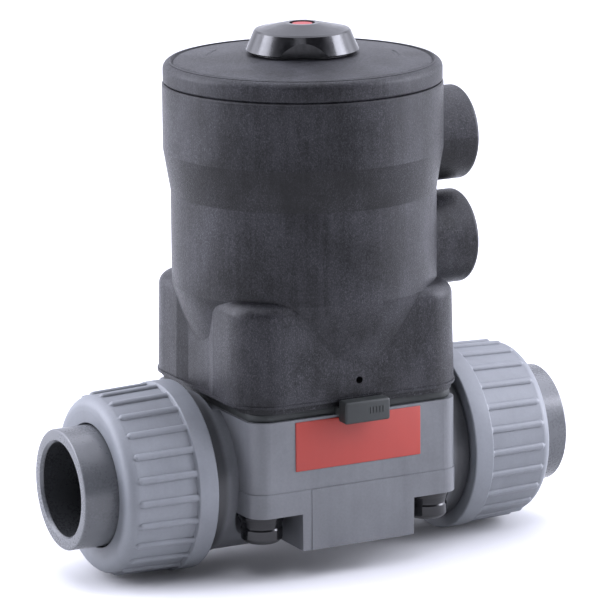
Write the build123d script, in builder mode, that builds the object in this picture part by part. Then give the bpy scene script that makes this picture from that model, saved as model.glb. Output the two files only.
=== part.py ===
"""Pneumatic diaphragm valve, DN25, with solvent-socket unions for 32 mm pipe.

Millimetres. The origin is the centre of the foot's underside, +Z runs up the
stem, X along the pipe, and -Y is the front with the label. The valve is drawn
closed: it closes by its springs and opens on air.
"""

import os
from math import cos, radians, sin

from build123d import *

# Valve body
PIPE_Z = 22.0
BORE_R = 12.5
FOOT_W = 43.0
BLOCK_HALF_X = 39.8
BLOCK_HALF_Y = 38.6
BLOCK_CORNER_R = 6.5
BLOCK_Z = 13.0
PARTING_Z = 21.3
PARTING_STEP = 0.25
PANEL_W = 36.0
BLOCK_TOP = 46.1
CHANNEL_R = 27.6
COLLAR_R = 28.0
COLLAR_X0, COLLAR_X1 = 43.0, 49.4
THREAD_CORE_R = 22.7
BODY_END_X = 69.0
SEAT_R = 23.0
WEIR_Z = 34.0
WEIR_HALF_T = 4.0
POCKET_R = 13.5
INSERT_PITCH = 25.0
MOUNT_INSERT_R, MOUNT_HOLE_R, MOUNT_INSERT_L = 4.5, 2.5, 7.5
LABEL_W, LABEL_Z0, LABEL_Z1 = 48.0, 28.1, 45.2
LABEL_T, LABEL_INLAY = 1.2, 0.8

# Unions
NUT_X0, NUT_X1 = 49.7, 82.0
NUT_BORE_R = 24.0
NUT_RIM_R, NUT_RIM_X = 32.6, 57.0
NUT_PANEL_R0, NUT_PANEL_R1 = 31.2, 30.5
NUT_HOLE_R = 21.3
NUT_WALL_X = 75.8
SHOULDER_R = 3.8
RIB_COUNT, RIB_W, RIB_H = 24, 2.6, 1.0
RIB_X0, RIB_X1 = 55.5, 78.3
UNION_FACE_X, UNION_END_X = 69.3, 93.6
UNION_FLANGE_R, UNION_FLANGE_X = 22.8, 75.6
SOCKET_OUTER_R, SOCKET_R, SOCKET_L, SOCKET_CHAMFER = 20.75, 16.1, 22.0, 0.8
SEAL_MAJOR, SEAL_MINOR, SEAL_PROUD = 17.9, 1.75, 0.2

# Clamping bolts, up through the flange into the actuator
BOLT_X, BOLT_Y = 32.0, 28.5
BOLT_R = 3.0
HEAD_AF, HEAD_H = 10.0, 4.0
WASHER_R, WASHER_T = 7.2, 1.6
BOLT_CAP_Z, BOLT_CAP_R = 2.8, 7.1
CAP_WAIST_Z, CAP_WAIST_R = 8.4, 6.9
SKIRT_R, SKIRT_TOP, SKIRT_LIP = 8.5, 12.8, 1.2
INSERT_R, INSERT_L = 5.0, 14.0
BOLT_ENGAGE = 12.0

# Diaphragm and stem; the stem lifts by STROKE
STROKE = 10.0
DIAPHRAGM_T = 3.0
DIAPHRAGM_GAP = 0.45
RIM_INSET = 1.0
TAB_W, TAB_Y, TAB_T, TAB_Z0, TAB_Z1 = 17.2, 46.0, 5.7, 44.0, 51.6
TAB_WEB_L = 8.0
SPINDLE_R = 6.0
SPINDLE_COLLAR_R, SPINDLE_COLLAR_H = 8.5, 6.0
SPIGOT_R, SPIGOT_L = 4.0, 8.0
TAP_R = 2.5
DISC_R, STUD_BOSS_R = 5.0, 7.0
COMPRESSOR_R, COMPRESSOR_TOP = 18.0, 60.0
SPINDLE_TOP = 122.0

# Actuator
HOUSING_Z = 49.0
LIP_Z = 50.8
HOUSING_HALF_X, HOUSING_HALF_Y, HOUSING_CORNER_R = 42.8, 39.8, 15.0
HOUSING_DRAFT = 1.2
FOOT_RIM_H = 1.0
SIDE_PANEL_HALF_W, SIDE_PANEL_RAMP, SIDE_PANEL_X = 8.0, 8.0, 41.2
SIDE_PANEL_SLOPE_L = 6.0
BOSS_TOP, BOSS_EDGE_R = 86.0, 4.5
CONE_Z0, CONE_R0, CONE_Z1 = 60.0, 38.6, 85.0
BARREL_R = 45.6
TAPER_Z0, TAPER_Z1 = 116.9, 131.4
HEAD_R = 48.0
SEAM_Z = 154.1
CYL_R = 42.0
BULKHEAD_Z0, BULKHEAD_Z1 = COMPRESSOR_TOP + STROKE + 6, 86.0
BUSH_R, BUSH_FLANGE_R, BUSH_TOP = 8.5, 10.5, 81.0
GLAND_R, GLAND_Z0, GLAND_Z1 = 8.6, 82.0, 84.5
CAVITY_R = 26.0
PORT_Z = (93.9, 130.8)
PORT_BOSS_R, PORT_X = 16.4, 60.5
PORT_R, PORT_DEPTH, PASSAGE_R = 5.75, 12.0, 2.5
LEAK_Z, LEAK_R = 57.4, 1.25

# Piston, springs, lid, cap and indicator
PISTON_Z, PISTON_WEB, PISTON_H = 98.0, 5.0, 14.0
PISTON_HUB_R, PISTON_HUB_H, PISTON_CUP_R = 14.0, 12.0, 36.0
PISTON_NUT_AF, PISTON_NUT_H = 19.0, 10.0
PISTON_CLEARANCE = 0.08
LID_R, LID_SHOULDER_Z, LID_CREASE_Z, LID_CREASE_R = 47.7, 157.6, 161.1, 44.9
LID_SEAT_R, LID_SEAT_Z = 17.0, 164.5
LID_UNDER_Z, LID_BOSS_R, LID_BOSS_Z = 156.0, 15.0, 150.0
LID_SKIRT_Z, LID_SKIRT_R, LID_THREAD_R = 144.0, 39.5, 43.5
OUTER_COIL_R, OUTER_WIRE_R, OUTER_TURNS = 31.0, 2.25, 5
INNER_COIL_R, INNER_WIRE_R, INNER_TURNS = 20.0, 1.75, 6
CAP_R0, CAP_R1, CAP_CROWN_R = 19.3, 16.4, 6.0
CAP_RIM_Z, CAP_TOP = 171.75, 173.9
CAP_NOSE_R, CAP_NOSE_Z = 10.0, 152.0
CAP_FLAT, CAP_FLAT_ANGLE = 17.4, 26.0
WINDOW_R = 4.4
ROD_R, ROD_TOP = 3.8, 173.6

PISTON_TOP_OF_WEB = PISTON_Z + PISTON_WEB
CAP_BASE_Z = LID_SEAT_Z
DISH_R = (SEAT_R**2 + (BLOCK_TOP - WEIR_Z) ** 2) / (2 * (BLOCK_TOP - WEIR_Z))
DISH_Z = WEIR_Z + DISH_R
DIAPHRAGM_OUT_R = DISH_R - DIAPHRAGM_GAP
DIAPHRAGM_IN_R = DIAPHRAGM_OUT_R - DIAPHRAGM_T
BOLT_PLACES = [(x, y) for x in (-BOLT_X, BOLT_X) for y in (-BOLT_Y, BOLT_Y)]
PIPE_AXIS = Axis((0, 0, PIPE_Z), (1, 0, 0))
SIDES = {"left": -1, "right": 1}


def save(part, label):
    """Name one finished piece and write it as its own STEP file."""
    part.label = label
    export_step(part, f"parts/{label}.step")


def end_plane(side, x):
    """A plane across the pipe axis at distance x, facing outward on that side."""
    return Plane(origin=(side * x, 0, PIPE_Z), x_dir=(0, 1, 0), z_dir=(side, 0, 0))


def turned(points):
    """A solid of revolution about Z from (radius, z) points."""
    with BuildPart() as piece:
        with BuildSketch(Plane.XZ):
            with BuildLine():
                Polyline(points, close=True)
            make_face()
        revolve(axis=Axis.Z)
    return piece.part


def o_ring(plane, major, minor):
    """A torus lying in the given plane."""
    with BuildPart() as ring:
        with Locations(plane):
            Torus(major, minor)
    return ring.part


def at_bolts(radius, z0, z1):
    """Four round posts, one at each clamping bolt."""
    with BuildPart() as posts:
        with BuildSketch(Plane.XY.offset(z0)):
            with Locations(*BOLT_PLACES):
                Circle(radius)
        extrude(amount=z1 - z0)
    return posts.part


os.makedirs("parts", exist_ok=True)

# ---------------------------------------------------------------- valve body

pipe_end = [
    (COLLAR_X0 - 5, 0),
    (COLLAR_X0 - 5, BORE_R),
    (COLLAR_X0, BORE_R),
    (COLLAR_X0, COLLAR_R),
    (COLLAR_X1, COLLAR_R),
    (COLLAR_X1, THREAD_CORE_R),
    (BODY_END_X - 0.6, THREAD_CORE_R),
    (BODY_END_X, THREAD_CORE_R - 0.6),
    (BODY_END_X, 0),
]

lower_x = BLOCK_HALF_X + PARTING_STEP
lower_y = BLOCK_HALF_Y + PARTING_STEP

with BuildPart() as valve_body:
    with BuildSketch(Plane.XY.offset(BLOCK_Z)):
        RectangleRounded(2 * BLOCK_HALF_X, 2 * BLOCK_HALF_Y, BLOCK_CORNER_R)
    extrude(amount=BLOCK_TOP - BLOCK_Z)
    with BuildSketch(Plane.XY.offset(BLOCK_Z)):
        RectangleRounded(2 * lower_x, 2 * lower_y, BLOCK_CORNER_R)
    extrude(amount=PARTING_Z - BLOCK_Z)
    with BuildSketch(Plane.XY.offset(BLOCK_Z)):
        Rectangle(FOOT_W, 2 * lower_y)
    extrude(amount=-BLOCK_Z, taper=0.5)
    with BuildSketch(Plane.XY):
        Rectangle(PANEL_W, 2 * lower_y + PARTING_STEP)
    extrude(amount=PARTING_Z)
    with BuildSketch(end_plane(1, -COLLAR_X0)):
        Circle(CHANNEL_R)
    extrude(amount=2 * COLLAR_X0)
    with BuildSketch(Plane.XY.offset(BLOCK_TOP)):
        Rectangle(4 * BLOCK_HALF_X, 4 * BLOCK_HALF_Y)
    extrude(amount=CHANNEL_R, mode=Mode.SUBTRACT)
    for side in SIDES.values():
        with BuildSketch(Plane.XZ):
            with BuildLine():
                Polyline([(side * x, PIPE_Z + r) for x, r in pipe_end], close=True)
            make_face()
        revolve(axis=PIPE_AXIS)
    # Seat: a shallow spherical dish, its lowest point the crest of the weir
    with Locations((0, 0, DISH_Z)):
        Sphere(DISH_R, mode=Mode.SUBTRACT)
    # Flow passage on each side of the weir
    for side in SIDES.values():
        with BuildSketch(end_plane(side, WEIR_HALF_T + 7)):
            Circle(BORE_R)
        extrude(amount=BODY_END_X, mode=Mode.SUBTRACT)
        with Locations((side * (WEIR_HALF_T + POCKET_R), 0, WEIR_Z - 4)):
            Sphere(POCKET_R, mode=Mode.SUBTRACT)
        with BuildSketch(end_plane(side, BODY_END_X)):
            Circle(SEAL_MAJOR + SEAL_MINOR + 0.2)
            Circle(SEAL_MAJOR - SEAL_MINOR - 0.2, mode=Mode.SUBTRACT)
        extrude(amount=SEAL_PROUD - 2 * SEAL_MINOR, mode=Mode.SUBTRACT)
    add(at_bolts(BOLT_R + 0.3, BLOCK_Z, BLOCK_TOP), mode=Mode.SUBTRACT)
    # Room for the washers and their caps beside the round channel
    add(at_bolts(SKIRT_R + 0.4, PIPE_Z - CHANNEL_R, BLOCK_Z), mode=Mode.SUBTRACT)
    with BuildSketch(Plane.XY):
        with GridLocations(INSERT_PITCH, 1, 2, 1):
            Circle(MOUNT_INSERT_R)
    extrude(amount=MOUNT_INSERT_L, mode=Mode.SUBTRACT)
    # Shallow seat for the label plate
    with BuildSketch(Plane.XZ.offset(BLOCK_HALF_Y)):
        with Locations((0, (LABEL_Z0 + LABEL_Z1) / 2)):
            Rectangle(LABEL_W, LABEL_Z1 - LABEL_Z0)
    extrude(amount=-LABEL_INLAY, mode=Mode.SUBTRACT)
save(valve_body.part, "valve_body")

with BuildPart() as mounting_inserts:
    with BuildSketch(Plane.XY):
        with GridLocations(INSERT_PITCH, 1, 2, 1):
            Circle(MOUNT_INSERT_R)
            Circle(MOUNT_HOLE_R, mode=Mode.SUBTRACT)
    extrude(amount=MOUNT_INSERT_L)
save(mounting_inserts.part, "mounting_inserts")

with BuildPart() as label_plate:
    with BuildSketch(Plane.XZ.offset(BLOCK_HALF_Y - LABEL_INLAY)):
        with Locations((0, (LABEL_Z0 + LABEL_Z1) / 2)):
            Rectangle(LABEL_W, LABEL_Z1 - LABEL_Z0)
    extrude(amount=LABEL_T)
    fillet(label_plate.edges().filter_by(Axis.Y), 0.6)
save(label_plate.part, "label_plate")

# -------------------------------------------------------------------- unions

nut_profile = [
    (NUT_X1 - SHOULDER_R, NUT_PANEL_R1),
    (NUT_RIM_X, NUT_PANEL_R0),
    (NUT_RIM_X - 0.4, NUT_RIM_R - 0.4),
    (NUT_RIM_X - 0.8, NUT_RIM_R),
    (NUT_X0 + 0.6, NUT_RIM_R),
    (NUT_X0, NUT_RIM_R - 0.6),
    (NUT_X0, NUT_BORE_R),
    (NUT_WALL_X, NUT_BORE_R),
    (NUT_WALL_X, NUT_HOLE_R),
    (NUT_X1 - 0.8, NUT_HOLE_R),
    (NUT_X1, NUT_HOLE_R + 0.8),
    (NUT_X1, NUT_PANEL_R1 - SHOULDER_R),
]
shoulder_mid = SHOULDER_R * (1 - sin(radians(45)))
rib_mid = (RIB_X0 + RIB_X1) / 2
rib_lean = (NUT_PANEL_R0 - NUT_PANEL_R1) / (NUT_WALL_X - NUT_RIM_X)
rib_top_r = (NUT_PANEL_R0 + NUT_PANEL_R1) / 2 + RIB_H


def rib_plane(side, index):
    """A plane just above the nut's panel, facing out along one rib's radius."""
    angle = radians(index * 360 / RIB_COUNT)
    radial = Vector(0, cos(angle), sin(angle))
    along = Vector(side, 0, 0) - radial * rib_lean
    origin = Vector(side * rib_mid, 0, PIPE_Z) + radial * rib_top_r
    normal = radial + Vector(side * rib_lean, 0, 0)
    return Plane(origin=origin, x_dir=along, z_dir=normal)


for name, side in SIDES.items():
    with BuildPart() as union_nut:
        with BuildSketch(Plane.XZ):
            with BuildLine():
                Polyline([(side * x, PIPE_Z + r) for x, r in nut_profile])
                ThreePointArc(
                    (side * NUT_X1, PIPE_Z + NUT_PANEL_R1 - SHOULDER_R),
                    (side * (NUT_X1 - shoulder_mid), PIPE_Z + NUT_PANEL_R1 - shoulder_mid),
                    (side * (NUT_X1 - SHOULDER_R), PIPE_Z + NUT_PANEL_R1),
                )
            make_face()
        revolve(axis=PIPE_AXIS)
        with BuildSketch(*[rib_plane(side, index) for index in range(RIB_COUNT)]):
            SlotOverall(RIB_X1 - RIB_X0, RIB_W)
        extrude(amount=-RIB_H - 1.5)
    save(union_nut.part, f"union_nut_{name}")

    with BuildPart() as union_end:
        with BuildSketch(end_plane(side, UNION_FACE_X)):
            Circle(UNION_FLANGE_R)
        extrude(amount=UNION_FLANGE_X - UNION_FACE_X)
        with BuildSketch(end_plane(side, UNION_FACE_X)):
            Circle(SOCKET_OUTER_R)
        extrude(amount=UNION_END_X - UNION_FACE_X)
        rim = union_end.edges().filter_by(GeomType.CIRCLE).sort_by(PIPE_AXIS)
        chamfer(rim[-1] if side > 0 else rim[0], 0.6)
        with BuildSketch(end_plane(side, UNION_FACE_X)):
            Circle(BORE_R)
        extrude(amount=UNION_END_X - UNION_FACE_X, mode=Mode.SUBTRACT)
        with BuildSketch(end_plane(side, UNION_END_X)):
            Circle(SOCKET_R)
        extrude(amount=-SOCKET_L, mode=Mode.SUBTRACT)
        mouth = union_end.faces().sort_by(Axis((0, 0, PIPE_Z), (side, 0, 0)))[-1]
        chamfer(mouth.inner_wires()[0].edges(), SOCKET_CHAMFER)
    save(union_end.part, f"union_end_{name}")

    seal_plane = end_plane(side, BODY_END_X + SEAL_PROUD - SEAL_MINOR)
    save(o_ring(seal_plane, SEAL_MAJOR, SEAL_MINOR), f"union_seal_{name}")

# ------------------------------------------------------------ clamping bolts

washer_z = BLOCK_Z - WASHER_T
head_z = washer_z - HEAD_H

with BuildPart() as body_bolts:
    with BuildSketch(Plane.XY.offset(head_z)):
        with Locations(*BOLT_PLACES):
            RegularPolygon(HEAD_AF / 2, 6, major_radius=False)
    extrude(amount=HEAD_H)
    add(at_bolts(BOLT_R, washer_z, HOUSING_Z + BOLT_ENGAGE))
save(body_bolts.part, "body_bolts")

with BuildPart() as bolt_washers:
    add(at_bolts(WASHER_R, washer_z, BLOCK_Z))
    add(at_bolts(BOLT_R + 0.2, washer_z, BLOCK_Z), mode=Mode.SUBTRACT)
save(bolt_washers.part, "bolt_washers")

with BuildPart() as bolt_caps:
    with BuildSketch(Plane.XZ):
        with BuildLine():
            Polyline(
                (0, BOLT_CAP_Z),
                (BOLT_CAP_R - 0.8, BOLT_CAP_Z),
                (BOLT_CAP_R, BOLT_CAP_Z + 0.8),
                (BOLT_CAP_R, CAP_WAIST_Z - 0.8),
                (CAP_WAIST_R, CAP_WAIST_Z),
                (SKIRT_R - 0.4, SKIRT_TOP - SKIRT_LIP),
                (SKIRT_R, SKIRT_TOP),
                (WASHER_R + 0.1, SKIRT_TOP),
                (WASHER_R + 0.1, washer_z - 0.1),
                (0, washer_z - 0.1),
                close=True,
            )
        make_face()
    revolve(axis=Axis.Z)
    with BuildSketch(Plane.XY.offset(head_z)):
        RegularPolygon(HEAD_AF / 2 + 0.05, 6, major_radius=False)
    extrude(amount=HEAD_H, mode=Mode.SUBTRACT)
bolt_cap_group = Part() + [Pos(x, y, 0) * bolt_caps.part for x, y in BOLT_PLACES]
save(bolt_cap_group, "bolt_caps")

with BuildPart() as bolt_inserts:
    add(at_bolts(INSERT_R, HOUSING_Z, HOUSING_Z + INSERT_L))
    add(at_bolts(BOLT_R, HOUSING_Z, HOUSING_Z + INSERT_L), mode=Mode.SUBTRACT)
save(bolt_inserts.part, "bolt_inserts")

# ------------------------------------------------------------ diaphragm, stem

stud_disc_z, stud_neck_z, stud_boss_z = 36.2, 37.6, 41.0
stud_top = 51.0

with BuildPart() as diaphragm:
    rim_x = BLOCK_HALF_X - RIM_INSET
    rim_y = BLOCK_HALF_Y - RIM_INSET
    with BuildSketch(Plane.XY.offset(BLOCK_TOP)):
        RectangleRounded(2 * rim_x, 2 * rim_y, BLOCK_CORNER_R)
    extrude(amount=HOUSING_Z - BLOCK_TOP)
    with BuildSketch(Plane.XZ):
        with Locations((0, DISH_Z)):
            Circle(DIAPHRAGM_OUT_R)
        with Locations((0, HOUSING_Z)):
            Rectangle(DISH_R, DISH_R, align=(Align.MIN, Align.MAX), mode=Mode.INTERSECT)
    revolve(axis=Axis.Z)
    with Locations((0, 0, DISH_Z)):
        Sphere(DIAPHRAGM_IN_R, mode=Mode.SUBTRACT)
    with BuildSketch(Plane.XY.offset(stud_disc_z)):
        Circle(STUD_BOSS_R)
    extrude(amount=stud_boss_z - stud_disc_z)
    add(at_bolts(BOLT_R + 0.5, BLOCK_TOP, HOUSING_Z), mode=Mode.SUBTRACT)
    # Pull tab, hooked out in front of the clamped joint
    with Locations((0, -rim_y, (BLOCK_TOP + HOUSING_Z) / 2)):
        Box(TAB_W, TAB_WEB_L, HOUSING_Z - BLOCK_TOP)
    with Locations((0, -TAB_Y, TAB_Z0)):
        Box(TAB_W, TAB_T, TAB_Z1 - TAB_Z0, align=(Align.CENTER, Align.MIN, Align.MIN))
    tab_front = diaphragm.faces().filter_by(Axis.Y).sort_by(Axis.Y)[0]
    fillet(tab_front.edges(), 1.0)
    with BuildSketch(Plane.XY.offset(stud_disc_z)):
        Circle(DISC_R)
    extrude(amount=stud_neck_z - stud_disc_z, mode=Mode.SUBTRACT)
    with BuildSketch(Plane.XY.offset(stud_neck_z)):
        Circle(BOLT_R)
    extrude(amount=stud_boss_z - stud_neck_z, mode=Mode.SUBTRACT)
save(diaphragm.part, "diaphragm")

stud = [
    (0, stud_disc_z),
    (DISC_R, stud_disc_z),
    (DISC_R, stud_neck_z),
    (BOLT_R, stud_neck_z),
    (BOLT_R, stud_top),
    (0, stud_top),
]
save(turned(stud), "diaphragm_stud")

with BuildPart() as compressor:
    with BuildSketch(Plane.XY.offset(WEIR_Z)):
        Circle(COMPRESSOR_R)
    extrude(amount=COMPRESSOR_TOP - WEIR_Z)
    with Locations((0, 0, DISH_Z)):
        Sphere(DIAPHRAGM_IN_R - 0.4, mode=Mode.INTERSECT)
    with BuildSketch(Plane.XY.offset(WEIR_Z)):
        Circle(STUD_BOSS_R + 0.4)
    extrude(amount=stud_boss_z + 0.4 - WEIR_Z, mode=Mode.SUBTRACT)
    with BuildSketch(Plane.XY.offset(WEIR_Z)):
        Circle(BOLT_R)
    extrude(amount=stud_top - WEIR_Z, mode=Mode.SUBTRACT)
    with BuildSketch(Plane.XY.offset(COMPRESSOR_TOP)):
        Circle(SPIGOT_R)
    extrude(amount=-SPIGOT_L, mode=Mode.SUBTRACT)
save(compressor.part, "compressor")

spindle_profile = [
    (0, COMPRESSOR_TOP - SPIGOT_L),
    (SPIGOT_R, COMPRESSOR_TOP - SPIGOT_L),
    (SPIGOT_R, COMPRESSOR_TOP),
    (SPINDLE_R, COMPRESSOR_TOP),
    (SPINDLE_R, PISTON_Z - SPINDLE_COLLAR_H),
    (SPINDLE_COLLAR_R, PISTON_Z - SPINDLE_COLLAR_H),
    (SPINDLE_COLLAR_R, PISTON_Z),
    (SPINDLE_R, PISTON_Z),
    (SPINDLE_R, SPINDLE_TOP),
    (TAP_R, SPINDLE_TOP),
    (TAP_R, SPINDLE_TOP - SPIGOT_L),
    (0, SPINDLE_TOP - SPIGOT_L),
]
save(turned(spindle_profile), "spindle")

# ------------------------------------------------------------------ actuator

barrel = [
    (0, CONE_Z0),
    (CONE_R0, CONE_Z0),
    (BARREL_R, CONE_Z1),
    (BARREL_R, TAPER_Z0),
    (HEAD_R, TAPER_Z1),
    (HEAD_R, SEAM_Z - 0.5),
    (HEAD_R - 0.5, SEAM_Z),
    (0, SEAM_Z),
]
cylinder_bore = [
    (0, BULKHEAD_Z1),
    (CYL_R, BULKHEAD_Z1),
    (CYL_R, LID_SKIRT_Z - 2),
    (LID_THREAD_R, LID_SKIRT_Z - 2),
    (LID_THREAD_R, SEAM_Z + 1),
    (0, SEAM_Z + 1),
]
stem_bore = [
    (0, HOUSING_Z - 1),
    (CAVITY_R, HOUSING_Z - 1),
    (CAVITY_R, BULKHEAD_Z0),
    (BUSH_R, BULKHEAD_Z0),
    (BUSH_R, BUSH_TOP),
    (SPINDLE_R + 0.3, BUSH_TOP),
    (SPINDLE_R + 0.3, GLAND_Z0),
    (GLAND_R, GLAND_Z0),
    (GLAND_R, GLAND_Z1),
    (SPINDLE_R + 0.3, GLAND_Z1),
    (SPINDLE_R + 0.3, BULKHEAD_Z1 + 1),
    (0, BULKHEAD_Z1 + 1),
]

with BuildPart() as actuator_housing:
    with BuildSketch(Plane.XY.offset(LIP_Z)):
        RectangleRounded(2 * HOUSING_HALF_X, 2 * HOUSING_HALF_Y, HOUSING_CORNER_R)
    extrude(amount=BOSS_TOP - LIP_Z, taper=HOUSING_DRAFT)
    fillet(actuator_housing.faces().sort_by(Axis.Z)[-1].edges(), BOSS_EDGE_R)
    # The faces towards the pipe are gently sunk between their corner bosses
    for side in SIDES.values():
        panel_edge_y = SIDE_PANEL_HALF_W + SIDE_PANEL_RAMP
        panel_rise = (HOUSING_HALF_X - SIDE_PANEL_X) * SIDE_PANEL_RAMP / SIDE_PANEL_SLOPE_L
        panel_edge_x = SIDE_PANEL_X + panel_rise
        with BuildSketch(Plane.XY.offset(LIP_Z)):
            with BuildLine():
                Polyline(
                    (side * SIDE_PANEL_X, -SIDE_PANEL_HALF_W),
                    (side * SIDE_PANEL_X, SIDE_PANEL_HALF_W),
                    (side * panel_edge_x, panel_edge_y),
                    (side * panel_edge_x, -panel_edge_y),
                    close=True,
                )
            make_face()
        lean = (-side * sin(radians(HOUSING_DRAFT)), 0, cos(radians(HOUSING_DRAFT)))
        extrude(amount=BOSS_TOP - LIP_Z + 2, dir=lean, mode=Mode.SUBTRACT)
    with BuildSketch(Plane.XY.offset(LIP_Z)):
        RectangleRounded(2 * HOUSING_HALF_X + 0.5, 2 * HOUSING_HALF_Y + 0.5, HOUSING_CORNER_R)
    extrude(amount=FOOT_RIM_H)
    with BuildSketch(Plane.XY.offset(HOUSING_Z)):
        RectangleRounded(2 * HOUSING_HALF_X - 4, 2 * HOUSING_HALF_Y - 1.4, HOUSING_CORNER_R - 3)
    extrude(amount=LIP_Z - HOUSING_Z)
    add(turned(barrel))
    with BuildSketch(Plane.YZ.offset(20)):
        with Locations(*[(0, z) for z in PORT_Z]):
            Circle(PORT_BOSS_R)
    extrude(amount=PORT_X - 20)
    port_rims = actuator_housing.faces().filter_by(Axis.X).sort_by(Axis.X)[-2:]
    fillet(port_rims.edges(), 1.5)
    add(turned(cylinder_bore), mode=Mode.SUBTRACT)
    add(turned(stem_bore), mode=Mode.SUBTRACT)
    with BuildSketch(Plane.YZ.offset(PORT_X)):
        with Locations(*[(0, z) for z in PORT_Z]):
            Circle(PORT_R)
    extrude(amount=-PORT_DEPTH, mode=Mode.SUBTRACT)
    with BuildSketch(Plane.YZ.offset(PORT_X)):
        with Locations(*[(0, z) for z in PORT_Z]):
            Circle(PASSAGE_R)
    extrude(amount=CYL_R - 2 - PORT_X, mode=Mode.SUBTRACT)
    add(at_bolts(INSERT_R, HOUSING_Z, HOUSING_Z + INSERT_L), mode=Mode.SUBTRACT)
    with BuildSketch(Plane.XZ.offset(CAVITY_R - 2)):
        with Locations((0, LEAK_Z)):
            Circle(LEAK_R)
    extrude(amount=HOUSING_HALF_Y, mode=Mode.SUBTRACT)
save(actuator_housing.part, "actuator_housing")

bush = [
    (SPINDLE_R + 0.05, BULKHEAD_Z0 - 1.5),
    (BUSH_FLANGE_R, BULKHEAD_Z0 - 1.5),
    (BUSH_FLANGE_R, BULKHEAD_Z0),
    (BUSH_R, BULKHEAD_Z0),
    (BUSH_R, BUSH_TOP),
    (SPINDLE_R + 0.05, BUSH_TOP),
]
save(turned(bush), "spindle_bush")
spindle_seal_r, spindle_seal_minor = 7.3, 1.22
spindle_seal_plane = Plane.XY.offset((GLAND_Z0 + GLAND_Z1) / 2)
save(o_ring(spindle_seal_plane, spindle_seal_r, spindle_seal_minor), "spindle_seal")

piston_r = CYL_R - PISTON_CLEARANCE
groove_r, groove_z0, groove_z1 = 38.6, 104.0, 107.4
piston_profile = [
    (SPINDLE_R, PISTON_Z),
    (piston_r, PISTON_Z),
    (piston_r, groove_z0),
    (groove_r, groove_z0),
    (groove_r, groove_z1),
    (piston_r, groove_z1),
    (piston_r, PISTON_Z + PISTON_H),
    (PISTON_CUP_R, PISTON_Z + PISTON_H),
    (PISTON_CUP_R, PISTON_TOP_OF_WEB),
    (PISTON_HUB_R, PISTON_TOP_OF_WEB),
    (PISTON_HUB_R, PISTON_Z + PISTON_HUB_H),
    (SPINDLE_R, PISTON_Z + PISTON_HUB_H),
]
save(turned(piston_profile), "piston")
seal_minor = 1.65
piston_seal_z = (groove_z0 + groove_z1) / 2
save(o_ring(Plane.XY.offset(piston_seal_z), groove_r + seal_minor, seal_minor), "piston_seal")

with BuildPart() as piston_nut:
    with BuildSketch(Plane.XY.offset(PISTON_Z + PISTON_HUB_H)):
        RegularPolygon(PISTON_NUT_AF / 2, 6, major_radius=False)
        Circle(SPINDLE_R, mode=Mode.SUBTRACT)
    extrude(amount=PISTON_NUT_H)
save(piston_nut.part, "piston_nut")


def coil_spring(mean_r, wire_r, turns):
    """An open coil spring between piston and lid, its ends ground flat."""
    length = LID_UNDER_Z - PISTON_TOP_OF_WEB
    with BuildPart() as spring:
        with BuildLine():
            wire = Helix(length / turns, length, mean_r, center=(0, 0, PISTON_TOP_OF_WEB))
        with BuildSketch(Plane(wire @ 0, z_dir=wire % 0)):
            Circle(wire_r)
        sweep(is_frenet=True)
        with BuildSketch(Plane.XY.offset(PISTON_TOP_OF_WEB)):
            Circle(mean_r + 2 * wire_r)
        extrude(amount=length, mode=Mode.INTERSECT)
    return spring.part


save(coil_spring(OUTER_COIL_R, OUTER_WIRE_R, OUTER_TURNS), "spring_outer")
save(coil_spring(INNER_COIL_R, INNER_WIRE_R, INNER_TURNS), "spring_inner")

lid_rim_r = LID_CREASE_R + 0.3
lid_seal_z, lid_groove_r, lid_groove_half = 151.2, 41.1, 1.2
lid_seal_r, lid_seal_minor = 42.27, 1.16
with BuildPart() as actuator_lid:
    with BuildSketch(Plane.XZ):
        with BuildLine():
            foot = Polyline(
                (CAP_NOSE_R + 0.05, LID_BOSS_Z),
                (LID_BOSS_R, LID_BOSS_Z),
                (LID_BOSS_R, LID_UNDER_Z),
                (LID_SKIRT_R, LID_UNDER_Z),
                (LID_SKIRT_R, LID_SKIRT_Z),
                (LID_THREAD_R - 0.05, LID_SKIRT_Z),
                (LID_THREAD_R - 0.05, lid_seal_z - lid_groove_half),
                (lid_groove_r, lid_seal_z - lid_groove_half),
                (lid_groove_r, lid_seal_z + lid_groove_half),
                (LID_THREAD_R - 0.05, lid_seal_z + lid_groove_half),
                (LID_THREAD_R - 0.05, SEAM_Z),
                (LID_R, SEAM_Z),
                (LID_R, LID_SHOULDER_Z),
            )
            shoulder = TangentArc(foot @ 1, (lid_rim_r, LID_CREASE_Z + 0.2), tangent=foot % 1)
            Polyline(
                shoulder @ 1,
                (LID_CREASE_R - 0.3, LID_CREASE_Z - 0.3),
                (LID_CREASE_R - 0.9, LID_CREASE_Z + 0.2),
                (CAP_R0 + 1, LID_SEAT_Z - 0.9),
                (LID_SEAT_R, LID_SEAT_Z - 0.8),
                (LID_SEAT_R, LID_SEAT_Z),
                (CAP_NOSE_R + 0.05, LID_SEAT_Z),
                foot @ 0,
            )
        make_face()
    revolve(axis=Axis.Z)
save(actuator_lid.part, "actuator_lid")
save(o_ring(Plane.XY.offset(lid_seal_z), lid_seal_r, lid_seal_minor), "lid_seal")

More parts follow.
